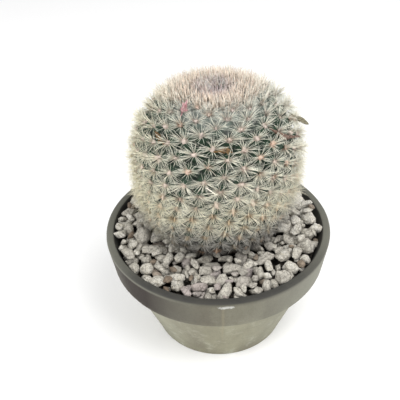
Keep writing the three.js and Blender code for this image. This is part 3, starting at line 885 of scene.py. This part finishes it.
def withered(node, name, slot, material, folds, twist, petals, overrun, girth, skin, random):
    """A withered flower, bud or fruit: a folded, twisted spindle that ends in frayed petals."""
    width, chain = REMAINS[node]
    seats = [seat(*point) for point in chain]
    places = np.array([place for place, _ in seats])
    outward = unit(np.sum([out for _, out in seats], axis=0))
    places[0] -= unit(places[1] - places[0]) * ROOT_OVERRUN * width
    places[-1] += unit(places[-1] - places[-2]) * overrun * width
    run = np.concatenate([[0], np.cumsum(np.linalg.norm(np.diff(places, axis=0), axis=1))])
    share = np.linspace(0, 1, REMAINS_ROWS)
    centre = np.stack([np.interp(share * run[-1], run, column) for column in places.T], -1)
    thinnest, raggedness = skin
    lumps = np.interp(share, np.linspace(0, 1, 9), random.uniform(thinnest, 1.15, 9))
    body = np.sin(np.pi * share) ** 0.6 * (0.72 + 0.3 * share) * lumps
    body = (body * np.interp(share, GIRTH_PLACES, girth))[:, None]
    turn = folds * round_angles(REMAINS_COLUMNS) + twist * share[:, None] + random.uniform(0, 6)
    ragged = random.normal(size=(REMAINS_ROWS, REMAINS_COLUMNS)) * (0.4 + share[:, None])
    radius = 0.46 * width * body * (1 - 0.3 * (0.5 + 0.5 * np.cos(turn))) * (1 + raggedness * ragged)
    parts = [tube(centre, outward, radius, 0.85)]

    length = min(0.26 * run[-1], 2.6)
    heading = unit(places[-1] - places[-2])
    steps = np.linspace(0, 1, PETAL_ROWS)[:, None]
    taper = 0.2 * width * np.sin(np.pi * (0.25 + 0.75 * steps)) + 0.05
    for _ in range(petals):
        root = centre[int(REMAINS_ROWS * random.uniform(0.55, 0.85))]
        aside = random.normal(0, 0.6, 3)
        curl = random.normal(0, 0.4, 3) + 0.2 * outward
        strip = root + length * random.uniform(0.7, 1.2) * (steps * (heading + aside) + steps**2 * curl)
        strip[:, 2] = np.minimum(strip[:, 2], SPINE_TOP)
        parts.append(tube(strip, outward, taper * np.ones(PETAL_COLUMNS), 0.3))
    new_piece(name, *joined(parts), material, slot, node)


LengthProperty = functools.partial(bpy.props.FloatProperty, unit="LENGTH", precision=5)
ColourProperty = functools.partial(bpy.props.FloatVectorProperty, size=4, subtype="COLOR")


class ClayPanSettings(bpy.types.PropertyGroup):
    """Sizes and colours of the clay pan."""

    collar_height: LengthProperty(
        name="Collar height", description="Depth of the collar round the mouth", default=0.0235)
    lip_width: LengthProperty(
        name="Lip width", description="Thickness of the wall at the lip", default=0.0053)
    collar_colour: ColourProperty(
        name="Collar colour", description="Clay of the collar", default=linear("#69675c"))
    body_colour: ColourProperty(
        name="Body colour", description="Clay below the collar, bleached by lime",
        default=linear("#828070"))
    lip_colour: ColourProperty(
        name="Lip colour", description="Damp, algae-darkened clay of the lip and inner wall",
        default=linear("#2b2a28"))


class GravelSettings(bpy.types.PropertyGroup):
    """Size and number of the gravel stones."""

    stones: bpy.props.IntProperty(
        name="Stones", description="Number of stones in the top layers", default=400, min=1)
    smallest: LengthProperty(
        name="Smallest stone", description="Half the width of the smallest stones", default=0.0019)
    largest: LengthProperty(
        name="Largest stone", description="Half the width of the largest stones", default=0.0046)


class PlantSettings(bpy.types.PropertyGroup):
    """Sizes and colours of the plant body."""

    body_radius: LengthProperty(
        name="Body radius", description="To the tops of the tubercles at the widest level",
        default=0.0512)
    tubercle_spacing: LengthProperty(
        name="Tubercle spacing", description="Distance between tubercles on the flanks",
        default=0.0109)
    tubercle_relief: bpy.props.FloatProperty(
        name="Tubercle relief", description="Depth between tubercles, as a share of their spacing",
        default=0.5)
    skin_colour: ColourProperty(
        name="Skin colour", description="Green of the tubercles", default=linear("#27432f"))
    # Painted shade: the near-black green between the tubercles
    shaded_hollow_colour: ColourProperty(
        name="Hollow colour", description="Green between the tubercles", default=linear("#0a110c"))
    crown_colour: ColourProperty(
        name="Crown colour", description="Blue-grey green of new growth", default=linear("#a9aeaa"))


class SpineSettings(bpy.types.PropertyGroup):
    """Number and size of the spines."""

    radials: bpy.props.IntProperty(
        name="Radial spines", description="Spread spines on each areole", default=50, min=1)
    radial_length: LengthProperty(
        name="Radial length", description="Length of the spread spines", default=0.0098)
    centrals: bpy.props.IntProperty(
        name="Central spines", description="Raised spines on each areole", default=22, min=0)
    central_length: LengthProperty(
        name="Central length", description="Length of the raised spines", default=0.0110)
    bristles: bpy.props.IntProperty(
        name="Crown bristles", description="Upright spines in a full round of the crown",
        default=3400, min=1)
    bristle_length: LengthProperty(
        name="Bristle length", description="Length of the upright spines", default=0.0092)
    width: LengthProperty(
        name="Spine width", description="Width of a spine at its root", default=0.00028)


class StudioSettings(bpy.types.PropertyGroup):
    """Floor and light."""

    floor_shade: bpy.props.FloatProperty(
        name="Floor shade", description="Grey level of the floor", default=0.95, min=0, max=1)
    key_power: bpy.props.FloatProperty(
        name="Key light", description="Power of the soft main light", default=9.0, unit="POWER")
    fill_share: bpy.props.FloatProperty(
        name="Fill light", description="Power of the light from the left, as a share of the main one",
        default=0.76, min=0)
    sky: bpy.props.FloatProperty(
        name="Sky", description="Strength of the even light from all round", default=0.64)


class BuildClayPan(bpy.types.Operator):
    """Builds the clay pan with its collar, rounded lip and drain hole"""

    bl_idname = "potted_cactus.clay_pan"
    bl_label = "Clay pan"

    def execute(self, context):
        pan = context.scene.clay_pan
        collar_foot = POT_HEIGHT - pan.collar_height / MM
        inner_lip = RIM_RADIUS - pan.lip_width / MM
        floor_edge = (inner_radius(FLOOR_THICKNESS), FLOOR_THICKNESS)
        outside = np.concatenate([
            straight((DRAIN_RADIUS, 0), (FOOT_RADIUS - FOOT_EDGE, 0), 3)[:-1],
            arc((FOOT_RADIUS - FOOT_EDGE, FOOT_EDGE), FOOT_EDGE, -90, 0, 7),
            straight((FOOT_RADIUS, FOOT_EDGE), (NECK_RADIUS, collar_foot), 2)[1:],
            arc((COLLAR_FOOT_RADIUS - EDGE, collar_foot + EDGE), EDGE, -90, 0, 9),
            straight((COLLAR_FOOT_RADIUS, collar_foot + EDGE), (RIM_RADIUS, POT_HEIGHT - EDGE), 2)[1:-1],
        ])
        lip = np.concatenate([
            arc((RIM_RADIUS - EDGE, POT_HEIGHT - EDGE), EDGE, 0, 90, 9),
            arc((inner_lip + EDGE, POT_HEIGHT - EDGE), EDGE, 90, 180, 9),
        ])
        inside = np.concatenate([
            straight((inner_lip, POT_HEIGHT - EDGE), floor_edge, 3)[1:],
            straight(floor_edge, (DRAIN_RADIUS, FLOOR_THICKNESS), 4)[1:],
            straight((DRAIN_RADIUS, FLOOR_THICKNESS), (DRAIN_RADIUS, 0), 2)[1:-1],
        ])
        profile = np.concatenate([outside, lip, inside])
        points = about_axis(round_angles(PAN_SIDES), profile[:, :1], profile[:, 1:]).reshape(-1, 3)
        # A hand-finished pan is never quite round: its wall runs in by up to 0.4 mm
        for vertex in points:
            wave = noise.noise(Vector(vertex) * 0.035) + 0.25 * noise.noise(Vector(vertex) * 0.3)
            vertex[:2] *= 1 - 0.004 * max(0.0, 0.45 + wave) * min(1.0, vertex[2] / 6)
        # Damp creeps over the lip: rows are counted from the lip's outer edge
        row = np.repeat(np.arange(len(profile)) - len(outside), PAN_SIDES)
        new_piece(
            "clay_pan", points, grid_faces(len(profile), PAN_SIDES, closed_rows=True), fired_clay(),
            "fired_clay", "pot", damp=np.where(row < 0, 0, (0.4 + 0.175 * row).clip(0, 1)),
            outside=row < 0, inside=row >= len(lip) - 5)
        return {"FINISHED"}


class FinishPottingMix(bpy.types.Operator):
    """Gives the potting mix below the gravel its crumbly look"""

    bl_idname = "potted_cactus.potting_mix"
    bl_label = "Potting mix"

    def execute(self, context):
        stops = [(0.1, "#1f1712"), (0.55, "#3a2b20"), (0.95, "#6b5440")]
        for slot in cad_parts["potting_mix"].material_slots:
            slot.material = crumbs_of("peat_and_bark_mix", stops)
        return {"FINISHED"}


class BuildGravel(bpy.types.Operator):
    """Builds the top dressing of broken pumice, stone by stone, on a bed of fine grit"""

    bl_idname = "potted_cactus.gravel"
    bl_label = "Pumice gravel"

    def execute(self, context):
        gravel = context.scene.gravel
        random = np.random.default_rng(71)
        smallest, largest = gravel.smallest / MM, gravel.largest / MM
        half = smallest + (largest - smallest) * random.random(gravel.stones) ** 1.3
        # The last quarter are small ones, which find the gaps
        last = gravel.stones // 4
        half[-last:] = smallest + 0.4 * (half[-last:] - smallest)
        sizes = [tuple(width * random.uniform(*limits) for limits in STONE_SHAPE) for width in half]
        stones = [stone for stone in settle_stones(sizes, random) if stone[2] > SEEN_STONE_HEIGHT]
        dressing = pumice()
        for name, big, divisions in (("large", True, 4), ("small", False, 3)):
            grade = [stone for stone in stones if (stone[4] > BIG_STONE) == big]
            self.build_stones("pumice_stones_" + name, grade, divisions, dressing, random)
        self.build_grit()
        return {"FINISHED"}

    def build_stones(self, name, stones, divisions, material, random):
        """Stones of one grade as one piece, each cut to its own broken shape."""
        directions, ball_faces = icosphere(divisions)
        parts, tints, painted_undershade = [], [], []
        for x, y, height, turn, a, b, c in stones:
            shaped = stone_points(directions, np.array([a, b, c]), random)
            tilt, roll = (Matrix.Rotation(random.normal(0, STONE_TILT), 3, axis) for axis in "XY")
            spin = np.array(Matrix.Rotation(turn, 3, "Z") @ (tilt @ roll))
            shaped = shaped @ spin.T + [x, y, height]
            parts.append((shaped, ball_faces))
            # Painted shade: a stone's points are darker the lower they lie, from just above its middle down
            painted_undershade.append(np.clip(0.04 - (shaped[:, 2] - height) / c, 0, 1) ** 0.8)
            tints.append(np.full(len(directions), stone_tint(x, b, random)))
        points, faces = joined(parts)
        # No stone runs into the wall
        wall = inner_radius(points[:, 2]) - WALL_ROOM
        points[:, :2] *= np.minimum(1, wall / np.hypot(points[:, 0], points[:, 1]))[:, None]
        new_piece(
            name, points, faces, material, "pumice", "pumice_gravel",
            tint=np.concatenate(tints), under=np.concatenate(painted_undershade))

    def build_grit(self):
        """The layer under the stones: fine grit and dust, seen in the gaps, painted dark there as shade
        between the stones.
        """
        azimuth = round_angles(GRIT_COLUMNS)
        share = np.linspace(0, 1, GRIT_ROWS)[:, None, None]
        neck = plant_point(azimuth, NECK_HOLE, GRIT_LEVEL)
        wall = about_axis(azimuth, inner_radius(GRIT_LEVEL) - GRIT_GAP, GRIT_LEVEL)
        top = neck * (1 - share) + wall * share
        top[..., 2] = GRIT_LEVEL + bed_rise(top[..., 0], top[..., 1])
        for vertex in top.reshape(-1, 3):
            vertex[2] += 1.1 * noise.noise(Vector(vertex) * 0.5) + 0.5 * noise.noise(Vector(vertex) * 1.6)
        foot_wall = about_axis(azimuth, inner_radius(GRIT_FOOT - 0.2) - GRIT_GAP, GRIT_FOOT)
        foot_neck = plant_point(azimuth, NECK_HOLE_FOOT, GRIT_FOOT)
        rings = np.concatenate([top, [foot_wall, foot_neck]])
        # Dark grit, darkened further as painted shade in the gaps
        grit = crumbs_of("dark_grit_and_painted_shade", [(0.1, "#15110e"), (0.6, "#2c2620"), (0.95, "#6a6258")])
        faces = grid_faces(len(rings), GRIT_COLUMNS, closed_rows=True)
        new_piece("pumice_grit", rings.reshape(-1, 3), faces, grit, "pumice", "pumice_gravel")


class BuildPlantBody(bpy.types.Operator):
    """Builds the plant's green body with its spiralling tubercles"""

    bl_idname = "potted_cactus.plant_body"
    bl_label = "Plant body"

    def execute(self, context):
        plant_piece("plant_body", plant_surface(), plant_skin())
        return {"FINISHED"}


class BuildAreoles(bpy.types.Operator):
    """Builds the felted areole on the top of every tubercle"""

    bl_idname = "potted_cactus.areoles"
    bl_label = "Areoles"

    def execute(self, context):
        random = np.random.default_rng(5)
        tips = tubercles()
        directions, ball_faces = icosphere(2)
        across, upward = areole_frame(tips)
        parts = []
        for i, place in enumerate(tips["place"]):
            size = 0.118 * tips["spacing"][i] * random.uniform(0.6, 1.35)
            lump = directions * (1 + 0.32 * random.normal(size=(len(directions), 1)))
            # Old areoles are drawn out down the plant
            stretch = random.uniform(0.75, 1.3) / (1 + 0.8 * tips["old"][i])
            shaped = lump[:, :1] * across[i] * stretch + lump[:, 1:2] * upward[i] / stretch
            shaped += (lump[:, 2:] * 0.75 + 0.2) * tips["axis"][i]
            parts.append((place + shaped * size, ball_faces))
        values = {key: np.repeat(tips[key], len(directions)) for key in ("age", "blush")}
        plant_piece("areole_felt", (*joined(parts), values), areole_felt())
        return {"FINISHED"}


class BuildRadialSpines(bpy.types.Operator):
    """Builds the white spines that spread like a star round every areole"""

    bl_idname = "potted_cactus.radial_spines"
    bl_label = "Radial spines"

    def execute(self, context):
        spines = context.scene.spines
        count, length, width = spines.radials, spines.radial_length / MM, spines.width / MM
        random = np.random.default_rng(12)
        tips = tubercles()
        # The last stops, towards the foot, darken partly with age and partly as painted shade under the
        # bulge
        horn = spine_horn("ivory_spine_horn", [
            (0.0, "#ddd4cf"), (0.3, "#e6dad1"), (0.58, "#e9dacf"), (0.75, "#ecd6b4"), (0.88, "#b0a28c"),
            (1.0, "#45413c")], [
            (0.0, "#e2e1dc"), (0.25, "#e1e4d5"), (0.55, "#eeecdb"), (0.72, "#f4f1da"), (0.86, "#bcbab2"),
            (1.0, "#45423d")], 0.76)
        upper = part_of(tips, tips["age"] < OLD_AGES[0])
        crown, shoulder = upper["crown"], upper["shoulder"]
        plant_piece("radial_spines", fan(
            upper, random, per=count * (1 - 0.1 * crown - 0.12 * shoulder), spread=18, bend=10,
            elevation=18 + 26 * crown + 8 * shoulder, length=length * (1 - 0.22 * crown),
            width=width * (1 - 0.15 * crown), reach=0.9), horn)
        lower = part_of(tips, tips["age"] >= OLD_AGES[0])
        foot = lower["foot"]
        plant_piece("old_radial_spines", fan(
            lower, random, per=count * (1.7 - 0.45 * foot), spread=18, bend=9, elevation=19 - 9 * foot,
            length=length * (1.05 - 0.36 * foot), width=0.84 * width, reach=0.9, sag=0.08, pull=0.44), horn)
        return {"FINISHED"}


class BuildCentralSpines(bpy.types.Operator):
    """Builds the raised cream-pink spines in the middle of every areole"""

    bl_idname = "potted_cactus.central_spines"
    bl_label = "Central spines"

    def execute(self, context):
        spines = context.scene.spines
        tips = tubercles()
        crown, shoulder, old, foot = tips["crown"] ** 0.7, tips["shoulder"], tips["old"], tips["foot"]
        # The last stops, towards the foot, darken partly with age and partly as painted shade under the
        # bulge
        horn = spine_horn("tan_spine_horn", [
            (0.0, "#cdb9b0"), (0.3, "#dfcfc4"), (0.58, "#e4d2c4"), (0.75, "#eacca2"), (0.88, "#b0987a"),
            (1.0, "#4c4640")], [
            (0.0, "#dfcfc4"), (0.25, "#e9e4d4"), (0.55, "#f4f0dc"), (0.72, "#f4ecd4"), (0.86, "#bfbab0"),
            (1.0, "#4c4740")], 0.78)
        plant_piece("central_spines", fan(
            tips, np.random.default_rng(33), per=spines.centrals * (1 + 0.3 * crown + 0.3 * old),
            elevation=47 + 22 * crown + 10 * shoulder - 26 * foot, spread=21, bend=7,
            length=spines.central_length / MM * (1 + 0.2 * shoulder - 0.4 * foot),
            width=(1.1 - 0.2 * old) * spines.width / MM, reach=0.5, sag=0.35 * old), horn)

        # One long spine has come loose and lies across its neighbours, bowed over them
        root, tip = (seat(*point)[0] for point in FALLEN_SPINE)
        length = np.linalg.norm(tip - root)
        way, bow = (tip - root) / length, np.array([0, 0, -0.45])
        values = (root, way + bow, way - bow, length, *FALLEN_VALUES)
        plant_piece("fallen_spine", needles(*(np.array([value]) for value in values)), horn)
        return {"FINISHED"}


class BuildCrownBristles(bpy.types.Operator):
    """Builds the upright pink-tan bristles that stand like a brush on the crown"""

    bl_idname = "potted_cactus.crown_bristles"
    bl_label = "Crown bristles"

    def execute(self, context):
        spines = context.scene.spines
        random = np.random.default_rng(48)
        number = np.arange(spines.bristles)
        reach = BRISTLE_EDGE[:, 1].max() * ((number + 0.5) / len(number)) ** 0.52
        spot = about_axis(number * GOLDEN_ANGLE, reach, 0)[:, :2]
        spot = spot + random.normal(0, 0.5, spot.shape)
        reach, azimuth = np.hypot(*spot.T), np.arctan2(spot[:, 1], spot[:, 0])
        edge = np.interp(np.degrees(azimuth), *BRISTLE_EDGE.T)
        kept = reach < edge + random.normal(0, 1.3, len(number))
        spot, reach, azimuth, share = (value[kept] for value in (spot, reach, azimuth, reach / edge))
        count = len(spot)
        radius, height, out, up, _ = outline_at(reach)
        axis = unit(about_axis(azimuth, out, up))
        root = plant_point(azimuth, radius, height) - axis * 0.8
        # They stand upright in the middle and lean out with the surface towards the edge
        upright = (0.6 - 0.35 * share[:, None]).clip(0.2, 0.6)
        skyward = np.array([0, 0, 1.0])
        lean = skyward * upright + axis * (1 - upright) + random.normal(0, 0.1, (count, 3))
        start = unit(lean + random.normal(0, 0.05, (count, 3)))
        end = unit(lean + 0.15 * skyward)
        middle = np.hypot(*(spot - CROWN_MIDDLE).T)
        length = spines.bristle_length / MM * random.uniform(0.72, 1.08, count)
        length *= (1 - 0.1 * share**2) * (1 - 0.3 * np.exp(-((middle / 12) ** 2)))
        length = np.minimum(length, (SPINE_TOP - root[:, 2]) / end[:, 2])
        width = spines.width / MM * random.uniform(1.05, 1.75, count)
        tint = random.random(count)
        kept = is_clear(root, start, end, length, random)
        values = (root, start, end, length, width, outline_at(middle)[-1], tint, random.random(count))
        # The first stops, in the crown's sunken middle, are grey-mauve: the young bristles' tone with
        # painted shade between them
        horn = spine_horn(
            "pink_spine_horn",
            [(0.0, "#b6abae"), (0.07, "#bcafac"), (0.12, "#e4d4c7"), (0.3, "#f2e7dc")],
            [(0.0, "#cbc1c5"), (0.07, "#d4c7c4"), (0.12, "#ffeeda"), (0.3, "#fff8ea")], 0.68, "#a37764")
        plant_piece("crown_bristles", needles(*(value[kept] for value in values)), horn)
        return {"FINISHED"}


class BuildRemains(bpy.types.Operator):
    """Builds the withered flowers, the pink bud and the browned fruit"""

    bl_idname = "potted_cactus.remains"
    bl_label = "Flowers, bud and fruit"

    def execute(self, context):
        random = np.random.default_rng(9)
        flower = "dried_flower"
        brown = dried_petal("withered_petal_brown", "#8b7264", "#42302a")
        amber = dried_petal("withered_petal_amber", "#836743", "#2c2018")
        pink = dried_petal("waxy_pink_bud", "#d6b2b2", "#8a4e58")
        olive = dried_petal("browned_fruit_skin", "#8d8770", "#474332")
        # Node, piece, slot, material, folds, twist, petals, overrun past the last point, girth and skin
        for remains in (
            ("dried_flower_right", "withered_flower_right", flower, brown, 5, 3.0, 2, 0.1, DRAWN_OUT, DRY),
            ("dried_flower_front", "withered_flower_front", flower, amber, 5, 2.4, 7, 0.25, EVEN, DRY),
            ("dried_flower_left", "withered_flower_left", flower, amber, 4, 2.0, 3, 0.25, EVEN, DRY),
            ("pink_bud", "pink_bud_petals", "pink_bud", pink, 3, 1.0, 9, -0.35, STALKED, DRY),
            ("green_fruit", "browned_fruit", "green_fruit", olive, 3, 0.6, 0, 0.25, STALKED, PLUMP),
        ):
            withered(*remains, random)
        return {"FINISHED"}


class BuildStudio(bpy.types.Operator):
    """Builds the plain floor, the soft light and the camera"""

    bl_idname = "potted_cactus.studio"
    bl_label = "Studio"

    def execute(self, context):
        scene = context.scene
        studio = scene.studio
        mesh = bpy.data.meshes.new("floor")
        corners = [(x * FLOOR_HALF, y * FLOOR_HALF, 0) for x, y in ((-1, -1), (1, -1), (1, 1), (-1, 1))]
        mesh.from_pydata(corners, [], [(0, 1, 2, 3)])
        mesh.materials.append(pale_floor())
        floor = bpy.data.objects.new("floor", mesh)
        scene.collection.objects.link(floor)

        world = bpy.data.worlds.new("studio")
        world.use_nodes = True
        background = world.node_tree.nodes["Background"].inputs
        background["Color"].default_value = linear("#ffffff")
        background["Strength"].default_value = studio.sky
        scene.world = world
        self.add_light("key", studio.key_power)
        self.add_light("fill", studio.key_power * studio.fill_share)
        self.add_camera(scene)
        scene.view_settings.view_transform = "Standard"
        return {"FINISHED"}

    def add_light(self, name, power):
        """A soft square light aimed at the plant."""
        place, size = LAMPS[name]
        light = bpy.data.lights.new(name, "AREA")
        light.size = size
        light.energy = power
        lamp = bpy.data.objects.new(name, light)
        lamp.location = place
        lamp.rotation_euler = (LAMP_AIM - Vector(place)).to_track_quat("-Z", "Y").to_euler()
        bpy.context.scene.collection.objects.link(lamp)

    def add_camera(self, scene):
        """The camera, placed from the rim's centre back along its own axes."""
        forward = Vector((0, math.cos(CAMERA_ELEVATION), -math.sin(CAMERA_ELEVATION)))
        level = Vector((1, 0, 0))
        upward = level.cross(forward)
        right = math.cos(CAMERA_ROLL) * level + math.sin(CAMERA_ROLL) * upward
        top = math.cos(CAMERA_ROLL) * upward - math.sin(CAMERA_ROLL) * level
        aside, drop = (
            (pixel - FRAME_PIXELS / 2) / FOCAL_PIXELS * RIM_CENTRE_DEPTH for pixel in RIM_CENTRE_PIXEL)
        rim_centre = Vector((0, 0, POT_HEIGHT))
        place = rim_centre - aside * right + drop * top - RIM_CENTRE_DEPTH * forward
        data = bpy.data.cameras.new("camera")
        data.sensor_width = SENSOR_WIDTH
        data.lens = FOCAL_PIXELS / FRAME_PIXELS * SENSOR_WIDTH
        data.clip_start = 0.01
        camera = bpy.data.objects.new("camera", data)
        turn = Matrix((right, top, -forward)).transposed()
        camera.matrix_world = Matrix.Translation(place * MM) @ turn.to_4x4()
        scene.collection.objects.link(camera)
        scene.camera = camera


class PottedCactusPanel(bpy.types.Panel):
    """Lists the pieces of the potted cactus and their settings."""

    bl_idname = "VIEW3D_PT_potted_cactus"
    bl_label = "Potted cactus"
    bl_space_type = "VIEW_3D"
    bl_region_type = "UI"
    bl_category = "Potted cactus"

    def draw(self, context):
        for operator in OPERATORS:
            self.layout.operator(operator.bl_idname)
        for group in SETTINGS:
            settings = getattr(context.scene, group)
            for key in settings.__annotations__:
                self.layout.prop(settings, key)


OPERATORS = (
    BuildClayPan, FinishPottingMix, BuildGravel, BuildPlantBody, BuildAreoles, BuildRadialSpines,
    BuildCentralSpines, BuildCrownBristles, BuildRemains, BuildStudio,
)
SETTINGS = {
    "clay_pan": ClayPanSettings,
    "gravel": GravelSettings,
    "cactus_plant": PlantSettings,
    "spines": SpineSettings,
    "studio": StudioSettings,
}


def register():
    """Makes the settings, the operators and the panel known to Blender."""
    for name, group in SETTINGS.items():
        bpy.utils.register_class(group)
        setattr(bpy.types.Scene, name, bpy.props.PointerProperty(type=group))
    for item in (*OPERATORS, PottedCactusPanel):
        bpy.utils.register_class(item)


def unregister():
    """Takes them all away again."""
    for item in (PottedCactusPanel, *reversed(OPERATORS)):
        bpy.utils.unregister_class(item)
    for name, group in SETTINGS.items():
        delattr(bpy.types.Scene, name)
        bpy.utils.unregister_class(group)


def main():
    """Builds every piece in order."""
    register()
    for operator in OPERATORS:
        group, name = operator.bl_idname.split(".")
        getattr(getattr(bpy.ops, group), name)()


if __name__ == "__main__":
    main()
